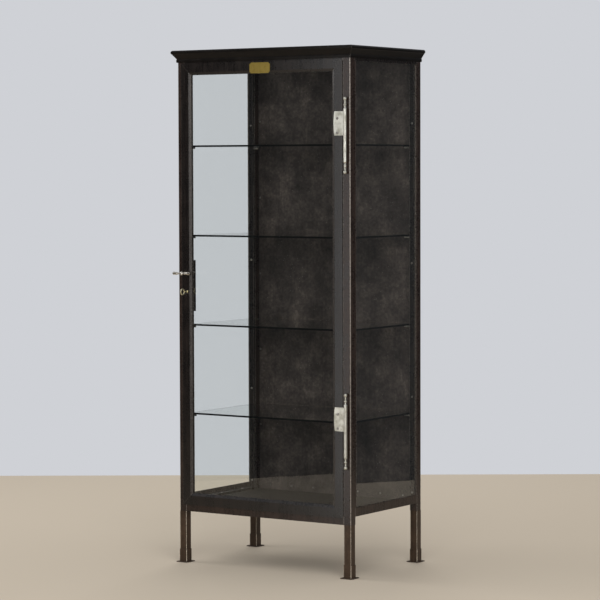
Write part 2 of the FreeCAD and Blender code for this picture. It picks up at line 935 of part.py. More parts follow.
def make_hinge_leaf(label, level):
    body = node(new_body(label))
    barrel_half(body, d.pin_run_gap, d.pin_half + 1, 1)
    sketch = new_sketch(body, "XZ_Plane", -d.barrel_radius)
    low = d.knuckle_gap
    outline(
        sketch,
        [
            (-d.leaf_reach, low),
            (-d.leaf_end, low),
            (-d.leaf_end, d.leaf_height),
            (-d.leaf_reach, d.leaf_height),
        ],
        {3: (d.leaf_bow, LEFT_TURN)},
    )
    pad(body, sketch, d.leaf_thick)
    place(body, hinge_x, hinge_y, level)


def make_hinge_frame(label, level):
    body = node(new_body(label))
    barrel_half(body, d.pin_seat_gap, d.pin_half, -1)
    reach = d.barrel_radius + d.face_proud
    sketch = new_sketch(body, "XZ_Plane", -reach)
    lug_top = -(d.barrel_half - d.lug_height) / 2
    lug_foot = lug_top - d.lug_height
    rectangle(sketch, (-d.lug_offset, lug_foot), (d.lug_width - d.lug_offset, lug_top))
    pad(body, sketch, reach - d.pin_radius - 1)
    place(body, hinge_x, hinge_y, level)


for name, level in (
    ("upper", d.total_height - d.upper_hinge_drop),
    ("lower", d.deck_level + d.lower_hinge_rise),
):
    make_hinge_leaf("hinge_leaf_" + name, level)
    make_hinge_frame("hinge_frame_" + name, level)
    pin = node(DOC.addObject("Part::Cylinder", "hinge_pin_" + name))
    pin.Label = "hinge_pin_" + name
    pin.setExpression("Radius", d.pin_radius.formula)
    pin.setExpression("Height", (d.pin_half * 2).formula)
    place(pin, hinge_x, hinge_y, level - d.pin_half)

# Lock plate and case behind the lock stile
lock_plate = node(new_body("lock_plate"))
lock_sketch = new_sketch(lock_plate, "XZ_Plane", -d.lock_plate)
rectangle(lock_sketch, (-d.lock_left, -d.lock_below), (d.lock_right, d.lock_above))
circle(lock_sketch, ZERO, ZERO, d.boss_radius + d.boss_gap)
pad(lock_plate, lock_sketch, d.lock_plate)
through_keyhole(lock_plate, as_size(1), ZERO, -d.key_drop, d.keyhole_gap)
place(lock_plate, lock_x, door_back, handle_level)

case = node(new_body("lock_case"))
case_sketch = new_sketch(case, "XZ_Plane", -d.lock_depth)
rectangle(case_sketch, (-d.lock_left, -d.lock_below), (d.lock_right, d.lock_above))
pad(case, case_sketch, d.lock_depth)
case_back = d.lock_depth.value - 0.01
soften(case, "Fillet", "Radius", d.lock_round, lambda b: b.YMin > case_back)
case_sketch = new_sketch(case, "XZ_Plane")
wall = d.lock_wall
low = (wall - d.lock_left, wall - d.lock_below)
high = (d.lock_right - wall, d.lock_above - wall)
rectangle(case_sketch, low, high)
pocket(case, case_sketch, d.lock_depth - wall)
bolt_slots(case, ("YZ_Plane", wall - d.lock_left + 0.5), -d.lock_plate, ZERO, d.bolt_gap, wall + 1)
place(case, lock_x, door_back + d.lock_plate, handle_level)

# Bolts, drawn back at rest
latch = node(new_body("latch_bolt"))
latch_sketch = new_sketch(latch, "XZ_Plane", -d.latch_thick)
tip = d.bolt_gap - d.lock_left
notch_half = d.crank_pin + d.notch_gap
notch_top = d.crank_radius + d.crank_pin + d.notch_gap
latch_top = d.latch_rise + d.bolt_height
outline(latch_sketch, [
    (tip, d.latch_rise),
    (crank_offset - notch_half, d.latch_rise),
    (crank_offset - notch_half, notch_top),
    (crank_offset + notch_half, notch_top),
    (crank_offset + notch_half, d.latch_rise),
    (tip + d.bolt_length, d.latch_rise),
    (tip + d.bolt_length, latch_top),
    (tip, latch_top),
])
pad(latch, latch_sketch, d.latch_thick)
place(latch, lock_x, door_back + d.latch_setback, handle_level)

node(box(
    "dead_bolt",
    lock_x + tip,
    door_back + d.dead_setback,
    key_level + d.dead_rise,
    d.bolt_length,
    d.dead_thick,
    d.bolt_height,
))

strike = node(new_body("strike_plate"))
strike_sketch = new_sketch(strike, "YZ_Plane")
strike_low = d.dead_rise - d.key_drop - d.strike_margin
strike_high = d.latch_rise + d.bolt_height + d.strike_margin
rectangle(strike_sketch, (d.strike_front, strike_low), (d.strike_front + d.strike_width, strike_high))
pad(strike, strike_sketch, d.strike_thick)
bolt_slots(
    strike,
    ("YZ_Plane", d.strike_thick + 1),
    door_back - front,
    ZERO,
    d.slot_gap,
    d.strike_thick + 2,
)
place(strike, inner_left, front, handle_level)

# T-handle: a turned bar with a ball at its middle, on a stem that ends in a square spindle
handle = node(new_body("t_handle"))
bar_sketch = new_sketch(handle, "XY_Plane")
half_bar = [
    (d.handle_half, ZERO),
    (d.handle_half, d.handle_end),
    (d.handle_half - d.handle_grip, d.handle_end),
]
turned = turned_ball(d.handle_ball)
handle_neck = turned[0][0]
half_bar.append((d.handle_neck_reach, handle_neck))
half_bar += [(z, x) for x, z in reversed(turned[2:])]
mirrored = [(-x, y) for x, y in reversed(half_bar)]
outline(bar_sketch, half_bar + mirrored)
revolve(handle, bar_sketch, "H_Axis")
stem_sketch = new_sketch(handle, "XY_Plane")
stem_end = d.handle_reach - d.face_proud + d.door_lip
outline(stem_sketch, [
    (ZERO, ZERO),
    (handle_neck, ZERO),
    (handle_neck, d.handle_ball + 4),
    (d.stem_radius, d.handle_ball + 4),
    (d.stem_radius, stem_end),
    (ZERO, stem_end),
])
revolve(handle, stem_sketch, "V_Axis")
spindle_tip = d.handle_reach - d.face_proud + d.member_depth + d.spindle_end
spindle_sketch = new_sketch(handle, "XZ_Plane", -spindle_tip)
half = d.spindle_side / 2
rectangle(spindle_sketch, (-half, -half), (half, half))
pad(handle, spindle_sketch, spindle_tip - d.handle_reach / 2)
place(handle, lock_x, front - d.handle_reach, handle_level)

follower = node(new_body("lock_follower"))
hub_end = d.hub_start + d.hub_thick
for offset, length, radius, spot in (
    (hub_end, d.hub_thick, d.hub_radius, ZERO),
    (d.hub_start + 0.2, d.hub_start, d.boss_radius, ZERO),
    (hub_end, d.hub_thick, d.crank_lobe, crank_offset),
    (hub_end + d.crank_pin_length, d.crank_pin_length + 0.5, d.crank_pin, crank_offset),
):
    hub_sketch = new_sketch(follower, "XZ_Plane", -offset)
    circle(hub_sketch, spot, spot, radius)
    pad(follower, hub_sketch, length)
hub_sketch = new_sketch(follower, "XZ_Plane", as_size(1))
half = d.spindle_side / 2 + d.spindle_gap
rectangle(hub_sketch, (-half, -half), (half, half))
pocket(follower, hub_sketch)
place(follower, lock_x, door_back, handle_level)

rosette = node(new_body("handle_rosette"))
rosette_sketch = new_sketch(rosette, "XY_Plane")
bore = d.stem_radius + d.stem_gap
thick = d.rosette_thick
outline(rosette_sketch, [
    (bore, ZERO),
    (bore, -thick),
    (d.rosette_radius, -thick),
    (d.rosette_radius, ZERO),
])
revolve(rosette, rosette_sketch, "V_Axis")
place(rosette, lock_x, door_face, handle_level)

# Key with a ring bow, standing in the lock, and the escutcheon that carries it
escutcheon = node(new_body("key_escutcheon"))
escutcheon_sketch = new_sketch(escutcheon, "XZ_Plane")
wide = d.escutcheon_half
tall = d.escutcheon_rise - d.escutcheon_half
rounded(
    escutcheon_sketch,
    (-wide, -tall - wide - 4),
    (wide, tall + wide - 4),
    (wide - 0.5,) * 4,
)
pad(escutcheon, escutcheon_sketch, d.escutcheon_thick)
through_keyhole(escutcheon, d.escutcheon_thick + 1, ZERO, ZERO, d.key_gap)
place(escutcheon, lock_x, door_face, key_level)

key = node(new_body("key"))
bow_sketch = new_sketch(key, "XY_Plane")
ring = d.bow_radius
rectangle(bow_sketch, (-d.bow_half, ring - d.bow_wire), (d.bow_half, ring + d.bow_wire))
revolve(key, bow_sketch, "H_Axis")
bow_reach = d.key_reach - d.bow_radius - d.bow_wire
plate_face = bow_reach - d.face_proud - d.escutcheon_thick
key_tip = bow_reach - d.face_proud + d.member_depth + d.key_end
shank_sketch = new_sketch(key, "XY_Plane")
shank = d.key_shank
outline(shank_sketch, [
    (ZERO, d.bow_radius),
    (shank, d.bow_radius),
    (shank, plate_face - 4),
    (d.key_collar, plate_face - 4),
    (d.key_collar, plate_face - 1),
    (shank, plate_face - 1),
    (shank, key_tip),
    (ZERO, key_tip),
])
revolve(key, shank_sketch, "V_Axis")
bit_start = bow_reach - d.face_proud + d.member_depth + d.dead_setback
bit_end = bit_start + d.dead_thick
bit_middle = (bit_start + bit_end) / 2
bit_sketch = new_sketch(key, "YZ_Plane", -d.bit_thick / 2)
outline(bit_sketch, [
    (bit_start, -d.bit_radius),
    (bit_middle - 0.6, -d.bit_radius),
    (bit_middle - 0.6, d.bit_ward - d.bit_radius),
    (bit_middle + 0.6, d.bit_ward - d.bit_radius),
    (bit_middle + 0.6, -d.bit_radius),
    (bit_end, -d.bit_radius),
    (bit_end, ZERO),
    (bit_start, ZERO),
])
pad(key, bit_sketch, d.bit_thick)
place(key, lock_x, front - bow_reach, key_level)

# Build, check and write every piece
DOC.recompute()
for item in DOC.Objects:
    if "Invalid" in item.State or "Error" in item.State:
        raise RuntimeError("%s does not build: %s" % (item.Label, item.State))
os.makedirs("parts", exist_ok=True)
for item in NODES:
    shape = item.Shape
    if shape.isNull() or not shape.isValid() or not shape.Solids:
        raise RuntimeError("%s has no valid solid" % item.Label)
    shape.exportStep("parts/%s.step" % item.Label)
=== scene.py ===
import math

import bmesh
import bpy
from mathutils import Matrix, Vector


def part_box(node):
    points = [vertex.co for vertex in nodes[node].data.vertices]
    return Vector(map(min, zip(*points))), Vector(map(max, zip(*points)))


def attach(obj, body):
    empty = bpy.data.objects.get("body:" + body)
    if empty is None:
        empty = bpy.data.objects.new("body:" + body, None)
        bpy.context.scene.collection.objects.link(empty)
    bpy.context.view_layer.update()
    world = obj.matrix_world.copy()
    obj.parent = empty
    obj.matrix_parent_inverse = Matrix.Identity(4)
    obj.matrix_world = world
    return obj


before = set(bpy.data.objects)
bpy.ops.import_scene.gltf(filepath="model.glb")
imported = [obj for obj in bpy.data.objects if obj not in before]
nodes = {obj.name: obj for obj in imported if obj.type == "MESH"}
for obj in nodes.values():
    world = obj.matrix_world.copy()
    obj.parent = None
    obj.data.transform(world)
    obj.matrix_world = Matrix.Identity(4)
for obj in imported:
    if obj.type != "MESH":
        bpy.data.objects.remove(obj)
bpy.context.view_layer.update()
MM = 0.001


def colour(hex_code):
    """Turns an sRGB hex value to linear light."""
    parts = [int(hex_code[i:i + 2], 16) / 255 for i in (1, 3, 5)]
    return [p / 12.92 if p <= 0.04045 else ((p + 0.055) / 1.055) ** 2.4 for p in parts] + [1.0]


def per(size_mm):
    """The texture scale whose features are about this many millimetres across."""
    return 1 / (size_mm * MM)


def add(tree, kind, inputs=None, **settings):
    """Adds a node with its settings. An input takes a value, or a socket to link."""
    node = tree.nodes.new(kind)
    for name, value in settings.items():
        setattr(node, name, value)
    for name, value in (inputs or {}).items():
        if isinstance(value, bpy.types.NodeSocket):
            tree.links.new(value, node.inputs[name])
        else:
            node.inputs[name].default_value = value
    return node


def set_stops(ramp_node, stops):
    """Gives a colour ramp its stops: place and hex colour."""
    ramp = ramp_node.color_ramp
    while len(ramp.elements) < len(stops):
        ramp.elements.new(0.5)
    for element, (place, hex_code) in zip(ramp.elements, stops):
        element.position = place
        element.color = colour(hex_code)


def new_material(name):
    """A material with an empty tree."""
    material = bpy.data.materials.new(name)
    material.use_nodes = True
    material.node_tree.nodes.clear()
    return material, material.node_tree


# Old steel: the sizes of its pattern in millimetres, and the shares in which it is mixed
CLOUD_MM = 70
STREAK_MM = 9
STREAK_SQUEEZE = 0.06
GRAIN_SHARE = 0.35
ARRIS_MM = 3.0
BARE_SHARE = 0.5
DUST_ROUGHNESS = 0.85
STEEL_EDGE_MM = 0.6
GRAIN_DEPTH_MM = 0.1
ALONG_X = 0
ALONG_Z = 2


def arris_wear_and_highlight(tree, breakup):
    """A mask that is 1 on upright arrises, sharp or rounded, broken up by a noise."""
    # The mask stands for rubbed wear and for a painted highlight along the upright arrises.
    rounded = add(tree, "ShaderNodeBevel", {"Radius": ARRIS_MM * MM}, samples=6)
    own = add(
        tree,
        "ShaderNodeVectorTransform",
        {"Vector": rounded.outputs["Normal"]},
        vector_type="NORMAL",
        convert_from="WORLD",
        convert_to="OBJECT",
    )
    size = add(tree, "ShaderNodeVectorMath", {0: own.outputs[0]}, operation="ABSOLUTE")
    parts = add(tree, "ShaderNodeSeparateXYZ", {0: size.outputs[0]})
    slant = add(
        tree,
        "ShaderNodeMath",
        {0: parts.outputs["X"], 1: parts.outputs["Y"]},
        operation="MINIMUM",
    )
    edge = add(
        tree,
        "ShaderNodeMapRange",
        {"Value": slant.outputs[0], "From Min": 0.3, "From Max": 0.62, "To Min": 0.0, "To Max": 1.0},
    )
    worn = add(
        tree,
        "ShaderNodeMapRange",
        {"Value": breakup, "From Min": 0.36, "From Max": 0.6, "To Min": 0.5, "To Max": 1.0},
    )
    wear_and_highlight_mask = add(tree, "ShaderNodeMath", {0: edge.outputs[0], 1: worn.outputs[0]}, operation="MULTIPLY")
    return wear_and_highlight_mask.outputs[0]


def old_steel(name, stops, worn_and_highlit_hex, streak_axis, streak_share, grain_mm, roughness, shine, wear_and_highlight):
    """Mild steel under an old waxed patina.

    It is cloudy and streaked, and bright on its upright arrises, partly from wear and partly as a painted
    highlight. It is dull with dust on top.
    """
    material, tree = new_material(name)
    coordinates = add(tree, "ShaderNodeTexCoord")
    place = coordinates.outputs["Object"]
    cloud = add(
        tree,
        "ShaderNodeTexNoise",
        {"Vector": place, "Scale": per(CLOUD_MM), "Detail": 7.0, "Roughness": 0.62},
    )
    grain = add(
        tree,
        "ShaderNodeTexNoise",
        {"Vector": place, "Scale": per(grain_mm), "Detail": 3.0, "Roughness": 0.7},
    )
    squeeze = [1.0, 1.0, 1.0]
    squeeze[streak_axis] = STREAK_SQUEEZE
    drawn_out = add(tree, "ShaderNodeMapping", {"Vector": place, "Scale": squeeze})
    streak = add(
        tree,
        "ShaderNodeTexNoise",
        {"Vector": drawn_out.outputs[0], "Scale": per(STREAK_MM), "Detail": 4.0},
    )
    blend = add(
        tree,
        "ShaderNodeMix",
        {0: streak_share, 2: cloud.outputs["Fac"], 3: streak.outputs["Fac"]},
        data_type="FLOAT",
    )
    speck = add(
        tree,
        "ShaderNodeMix",
        {0: GRAIN_SHARE, 2: blend.outputs[0], 3: grain.outputs["Fac"]},
        data_type="FLOAT",
    )
    tone = add(tree, "ShaderNodeValToRGB", {"Fac": speck.outputs[0]})
    set_stops(tone, stops)
    # Upright arrises are painted pale: partly rubbed wear, partly a painted highlight.
    wear_and_highlight_mask = arris_wear_and_highlight(tree, grain.outputs["Fac"])
    wear_and_highlight_amount = add(tree, "ShaderNodeMath", {0: wear_and_highlight_mask, 1: wear_and_highlight}, operation="MULTIPLY")
    bare = add(tree, "ShaderNodeMath", {0: wear_and_highlight_amount.outputs[0], 1: BARE_SHARE}, operation="MULTIPLY")
    base = add(
        tree,
        "ShaderNodeMix",
        {0: wear_and_highlight_amount.outputs[0], 6: tone.outputs["Color"], 7: colour(worn_and_highlit_hex)},
        data_type="RGBA",
    )
    matt = add(
        tree,
        "ShaderNodeMapRange",
        {
            "Value": speck.outputs[0],
            "From Min": 0.3,
            "From Max": 0.7,
            "To Min": roughness - 0.1,
            "To Max": roughness + 0.12,
        },
    )
    facing = add(tree, "ShaderNodeSeparateXYZ", {0: coordinates.outputs["Normal"]})
    dust = add(
        tree,
        "ShaderNodeMapRange",
        {"Value": facing.outputs["Z"], "From Min": 0.6, "From Max": 0.9, "To Min": 0.0, "To Max": 1.0},
    )
    dull = add(
        tree,
        "ShaderNodeMix",
        {0: dust.outputs[0], 2: matt.outputs[0], 3: DUST_ROUGHNESS},
        data_type="FLOAT",
    )
    soft = add(tree, "ShaderNodeBevel", {"Radius": STEEL_EDGE_MM * MM}, samples=4)
    relief = add(
        tree,
        "ShaderNodeBump",
        {
            "Height": grain.outputs["Fac"],
            "Strength": 0.1,
            "Distance": GRAIN_DEPTH_MM * MM,
            "Normal": soft.outputs["Normal"],
        },
    )
    shader = add(
        tree,
        "ShaderNodeBsdfPrincipled",
        {
            "Base Color": base.outputs[2],
            "Metallic": bare.outputs[0],
            "Specular IOR Level": shine,
            "Roughness": dull.outputs[0],
            "Normal": relief.outputs["Normal"],
        },
    )
    add(tree, "ShaderNodeOutputMaterial", {"Surface": shader.outputs[0]})
    return material


# Bright metals: the sizes of their marks in millimetres, and how much rougher a stain is
RUB_MM = 1.2
RUB_DEPTH_MM = 0.2
METAL_EDGE_MM = 0.5
STAIN_ROUGHNESS = 0.22


def plated_metal(name, bright_hex, dull_hex, stain_mm, roughness):
    """A solid or plated bright metal, duller and darker in its stains, with fine rubbing marks."""
    material, tree = new_material(name)
    place = add(tree, "ShaderNodeTexCoord").outputs["Object"]
    stain = add(
        tree,
        "ShaderNodeTexNoise",
        {"Vector": place, "Scale": per(stain_mm), "Detail": 6.0, "Roughness": 0.65},
    )
    rub = add(tree, "ShaderNodeTexNoise", {"Vector": place, "Scale": per(RUB_MM), "Detail": 3.0})
    tone = add(tree, "ShaderNodeValToRGB", {"Fac": stain.outputs["Fac"]})
    set_stops(tone, ((0.36, dull_hex), (0.56, bright_hex)))
    matt = add(
        tree,
        "ShaderNodeMapRange",
        {
            "Value": stain.outputs["Fac"],
            "From Min": 0.35,
            "From Max": 0.6,
            "To Min": roughness + STAIN_ROUGHNESS,
            "To Max": roughness,
        },
    )
    soft = add(tree, "ShaderNodeBevel", {"Radius": METAL_EDGE_MM * MM}, samples=4)
    relief = add(
        tree,
        "ShaderNodeBump",
        {
            "Height": rub.outputs["Fac"],
            "Strength": 0.08,
            "Distance": RUB_DEPTH_MM * MM,
            "Normal": soft.outputs["Normal"],
        },
    )
    shader = add(
        tree,
        "ShaderNodeBsdfPrincipled",
        {
            "Base Color": tone.outputs["Color"],
            "Metallic": 1.0,
            "Roughness": matt.outputs[0],
            "Normal": relief.outputs["Normal"],
        },
    )
    add(tree, "ShaderNodeOutputMaterial", {"Surface": shader.outputs[0]})
    return material


# Glass: its index is a little under a window pane's 1.52, so that it mirrors less
GLASS_IOR = 1.42
SMEAR_MM = 140
SMEAR_ROUGHNESS = 0.02


def clear_glass(name, tint_hex, shade_hex, edge_hex=None):
    """Drawn soda-lime glass: clear through its faces, with a faint smear.

    Light that passes on takes the shade. With an edge colour, the upright cut edges are dark.
    """
    material, tree = new_material(name)
    place = add(tree, "ShaderNodeTexCoord")
    smear = add(
        tree,
        "ShaderNodeTexNoise",
        {"Vector": place.outputs["Object"], "Scale": per(SMEAR_MM), "Detail": 5.0},
    )
    haze = add(
        tree,
        "ShaderNodeMapRange",
        {
            "Value": smear.outputs["Fac"],
            "From Min": 0.45,
            "From Max": 0.75,
            "To Min": 0.0,
            "To Max": SMEAR_ROUGHNESS,
        },
    )
    pane = add(
        tree,
        "ShaderNodeBsdfPrincipled",
        {
            "Base Color": colour(tint_hex),
            "Roughness": haze.outputs[0],
            "IOR": GLASS_IOR,
            "Transmission Weight": 1.0,
        },
    )
    clear = add(tree, "ShaderNodeBsdfTransparent", {"Color": colour(shade_hex)})
    ray = add(tree, "ShaderNodeLightPath")
    unbent = add(
        tree,
        "ShaderNodeMath",
        {0: ray.outputs["Is Shadow Ray"], 1: ray.outputs["Is Diffuse Ray"]},
        operation="MAXIMUM",
    )
    body = add(tree, "ShaderNodeMixShader", {0: unbent.outputs[0], 1: pane.outputs[0], 2: clear.outputs[0]})
    if edge_hex is None:
        add(tree, "ShaderNodeOutputMaterial", {"Surface": body.outputs[0]})
        return material
    facing = add(tree, "ShaderNodeSeparateXYZ", {0: place.outputs["Normal"]})
    level = add(tree, "ShaderNodeMath", {0: facing.outputs["Z"]}, operation="ABSOLUTE")
    is_edge = add(tree, "ShaderNodeMath", {0: level.outputs[0], 1: 0.5}, operation="LESS_THAN")
    rim = add(
        tree,
        "ShaderNodeBsdfPrincipled",
        {"Base Color": colour(edge_hex), "Roughness": 0.2, "Specular IOR Level": 0.1},
    )
    both = add(tree, "ShaderNodeMixShader", {0: is_edge.outputs[0], 1: body.outputs[0], 2: rim.outputs[0]})
    add(tree, "ShaderNodeOutputMaterial", {"Surface": both.outputs[0]})
    return material


# Top rails, glazing bars and lock case: patinated mild steel, near black and streaked upright
PATINA = ((0.30, "#060403"), (0.46, "#0d0806"), (0.60, "#18100b"), (0.80, "#35261d"))
frame_steel = old_steel(
    "patinated_mild_steel",
    PATINA,
    worn_and_highlit_hex="#9a928a",
    streak_axis=ALONG_Z,
    streak_share=0.45,
    grain_mm=5,
    roughness=0.28,
    shine=0.4,
    wear_and_highlight=0.6,
)
# Door members: the same steel with its welded mitres ground flush, a little shinier, less worn and with a
# weaker painted highlight on its arrises
door_steel = old_steel(
    "ground_mild_steel",
    PATINA,
    worn_and_highlit_hex="#8d847c",
    streak_axis=ALONG_Z,
    streak_share=0.45,
    grain_mm=5,
    roughness=0.28,
    shine=0.5,
    wear_and_highlight=0.3,
)
# Posts and bottom rails: the same steel, browner where hands and brooms have rubbed, and pale on their
# upright arrises, partly wear and partly a painted highlight
RUBBED = ((0.30, "#110b08"), (0.46, "#1f1510"), (0.60, "#2e211a"), (0.80, "#4d3a2c"))
post_steel = old_steel(
    "rubbed_mild_steel",
    RUBBED,
    worn_and_highlit_hex="#b5aca3",
    streak_axis=ALONG_Z,
    streak_share=0.45,
    grain_mm=5,
    roughness=0.28,
    shine=0.4,
    wear_and_highlight=0.6,
)
# Legs and feet: tube steel, browned most, with bright arrises that are partly wear and partly a painted
# highlight
LEG_BROWN = ((0.30, "#201812"), (0.46, "#33271d"), (0.60, "#463629"), (0.80, "#63503f"))
leg_steel = old_steel(
    "browned_tube_steel",
    LEG_BROWN,
    worn_and_highlit_hex="#e6dac8",
    streak_axis=ALONG_Z,
    streak_share=0.45,
    grain_mm=5,
    roughness=0.34,
    shine=0.2,
    wear_and_highlight=0.95,
)
# Cornice: rolled moulding, hardly worn, its patina painted darker than the rest as painted shade, since it
# is lit less
SHADED_PATINA = ((0.30, "#060403"), (0.46, "#0b0806"), (0.60, "#130e0a"), (0.80, "#281d16"))
shaded_cornice_steel = old_steel(
    "shaded_rolled_steel",
    SHADED_PATINA,
    worn_and_highlit_hex="#8d847c",
    streak_axis=ALONG_Z,
    streak_share=0.3,
    grain_mm=5,
    roughness=0.36,
    shine=0.15,
    wear_and_highlight=0.3,
)
# Back: rolled sheet with a matt, mottled gunmetal mill scale
MILL_SCALE = ((0.36, "#241f1d"), (0.47, "#342e2b"), (0.57, "#463e3a"), (0.68, "#605650"))
back_steel = old_steel(
    "mottled_sheet_steel",
    MILL_SCALE,
    worn_and_highlit_hex="#7d766f",
    streak_axis=ALONG_Z,
    streak_share=0.15,
    grain_mm=9,
    roughness=0.62,
    shine=0.1,
    wear_and_highlight=0.2,
)
# Bottom: rolled sheet, browned and streaked by what has slid over it
BROWNED = ((0.30, "#0b0806"), (0.46, "#15100c"), (0.60, "#211a13"), (0.76, "#3a2f25"))
deck_steel = old_steel(
    "browned_sheet_steel",
    BROWNED,
    worn_and_highlit_hex="#8b8178",
    streak_axis=ALONG_X,
    streak_share=0.6,
    grain_mm=8,
    roughness=0.5,
    shine=0.15,
    wear_and_highlight=0.2,
)
# Top: rolled sheet under years of dust, so it shines little
DUSTED = ((0.30, "#1c1917"), (0.46, "#2a2623"), (0.60, "#3a3531"), (0.76, "#4d4741"))
top_steel = old_steel(
    "dusty_sheet_steel",
    DUSTED,
    worn_and_highlit_hex="#6d665f",
    streak_axis=ALONG_X,
    streak_share=0.2,
    grain_mm=8,
    roughness=0.85,
    shine=0.05,
    wear_and_highlight=0.1,
)
# Hinges: nickel plate, yellowed and dulled
nickel = plated_metal("worn_nickel_plate", "#d2d0c6", "#b2afa1", stain_mm=30, roughness=0.4)
# Handle: nickel plate worn through to the steel, so darker in its stains
handle_metal = plated_metal("worn_through_nickel", "#c4bfb5", "#857f76", stain_mm=16, roughness=0.22)
# Lock works, pegs and screws: bare steel gone grey
bare_steel = plated_metal("greyed_bare_steel", "#a19d97", "#625d58", stain_mm=12, roughness=0.35)
# Name plate: brass under an even brown tarnish
brass = plated_metal("tarnished_brass", "#a48e4a", "#8a763a", stain_mm=45, roughness=0.36)
# Key: brass rubbed pale by hands
key_brass = plated_metal("rubbed_brass", "#e9e2c2", "#c4ba92", stain_mm=10, roughness=0.4)
# Door and side panes: drawn window glass, all but colourless
pane_glass = clear_glass("drawn_window_glass", "#fdfffe", "#fdfffe")
# Shelves: cut glass, faintly green, that shades what is below and shows dark edges
shelf_glass = clear_glass("cut_shelf_glass", "#f6faf8", "#707572", "#0a0d0c")

# Which finish a node has: by its own name, or else by the way its name starts
LOOKS = {
    "back_sheet": back_steel,
    "bottom_sheet": deck_steel,
    "top_sheet": top_steel,
    "door_glass": pane_glass,
    "t_handle": handle_metal,
    "name_plate": brass,
    "key": key_brass,
    "lock_follower": bare_steel,
    "latch_bolt": bare_steel,
    "dead_bolt": bare_steel,
    "strike_plate": bare_steel,
}
FAMILY_LOOKS = {
    "side_glass_": pane_glass,
    "glass_shelf_": shelf_glass,
    "shelf_pegs_": bare_steel,
    "hinge_": nickel,
    "door_stile_": door_steel,
    "door_rail_": door_steel,
    "leg_": leg_steel,
    "foot_": leg_steel,
    "post_": post_steel,
    "bottom_rail_": post_steel,
    "cornice_": shaded_cornice_steel,
}


def look_of(name):
    """The finish of a node. What has none of its own is frame steel."""
    if name in LOOKS:
        return LOOKS[name]
    for start, material in FAMILY_LOOKS.items():
        if name.startswith(start):
            return material
    return frame_steel


for node_name, node_piece in nodes.items():
    for material_slot in node_piece.material_slots:
        material_slot.material = look_of(node_name)

# Round-head screws: heights and slots as shares of the head's diameter
HEAD_HEIGHT = 0.32
SLOT_WIDTH = 0.16
CUTTER_LENGTH = 1.2
SCREW_SEED = 7


def screw_tree():
    """One slotted round head at each point, facing its own way, with its slot at any angle."""
    tree = bpy.data.node_groups.new("round_head_screws", "GeometryNodeTree")
    face = tree.interface
    face.new_socket("Geometry", in_out="INPUT", socket_type="NodeSocketGeometry")
    face.new_socket("Head Diameter", in_out="INPUT", socket_type="NodeSocketFloat")
    face.new_socket("Head Height", in_out="INPUT", socket_type="NodeSocketFloat")
    face.new_socket("Slot Width", in_out="INPUT", socket_type="NodeSocketFloat")
    face.new_socket("Metal", in_out="INPUT", socket_type="NodeSocketMaterial")
    face.new_socket("Geometry", in_out="OUTPUT", socket_type="NodeSocketGeometry")
    given = add(tree, "NodeGroupInput")
    diameter = given.outputs["Head Diameter"]
    height = given.outputs["Head Height"]
    radius = add(tree, "ShaderNodeMath", {0: diameter, 1: 0.5}, operation="MULTIPLY")
    ball = add(tree, "GeometryNodeMeshUVSphere", {"Segments": 20, "Rings": 10, "Radius": radius.outputs[0]})
    squeeze = add(tree, "ShaderNodeMath", {0: height, 1: radius.outputs[0]}, operation="DIVIDE")
    flat = add(tree, "ShaderNodeCombineXYZ", {"X": 1.0, "Y": 1.0, "Z": squeeze.outputs[0]})
    dome = add(tree, "GeometryNodeTransform", {"Geometry": ball.outputs["Mesh"], "Scale": flat.outputs[0]})
    length = add(tree, "ShaderNodeMath", {0: diameter, 1: CUTTER_LENGTH}, operation="MULTIPLY")
    cut_size = add(
        tree,
        "ShaderNodeCombineXYZ",
        {"X": length.outputs[0], "Y": given.outputs["Slot Width"], "Z": height},
    )
    cutter = add(tree, "GeometryNodeMeshCube", {"Size": cut_size.outputs[0]})
    lift = add(tree, "ShaderNodeCombineXYZ", {"Z": height})
    lifted = add(
        tree,
        "GeometryNodeTransform",
        {"Geometry": cutter.outputs["Mesh"], "Translation": lift.outputs[0]},
    )
    head = add(
        tree,
        "GeometryNodeMeshBoolean",
        {"Mesh 1": dome.outputs[0], "Mesh 2": lifted.outputs[0]},
        operation="DIFFERENCE",
    )
    facing = add(tree, "GeometryNodeInputNamedAttribute", {"Name": "facing"}, data_type="FLOAT_VECTOR")
    aim = add(tree, "FunctionNodeAlignRotationToVector", {"Vector": facing.outputs[0]}, axis="Z")
    spin = add(tree, "FunctionNodeRandomValue", {"Max": math.pi, "Seed": SCREW_SEED}, data_type="FLOAT")
    twist = add(
        tree,
        "FunctionNodeAxisAngleToRotation",
        {"Axis": (0.0, 0.0, 1.0), "Angle": spin.outputs[1]},
    )
    turned = add(
        tree,
        "FunctionNodeRotateRotation",
        {"Rotation": aim.outputs[0], "Rotate By": twist.outputs[0]},
        rotation_space="LOCAL",
    )
    placed = add(
        tree,
        "GeometryNodeInstanceOnPoints",
        {
            "Points": given.outputs["Geometry"],
            "Instance": head.outputs["Mesh"],
            "Rotation": turned.outputs[0],
        },
    )
    real = add(tree, "GeometryNodeRealizeInstances", {"Geometry": placed.outputs[0]})
    dressed = add(
        tree,
        "GeometryNodeSetMaterial",
        {"Geometry": real.outputs[0], "Material": given.outputs["Metal"]},
    )
    add(tree, "NodeGroupOutput", {"Geometry": dressed.outputs[0]})
    return tree


SCREWS = screw_tree()


def show_piece(name, mesh, body):
    """Shows a mesh as a piece that moves with a body and takes its finish from a slot."""
    piece = bpy.data.objects.new(name, mesh)
    bpy.context.scene.collection.objects.link(piece)
    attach(piece, body)


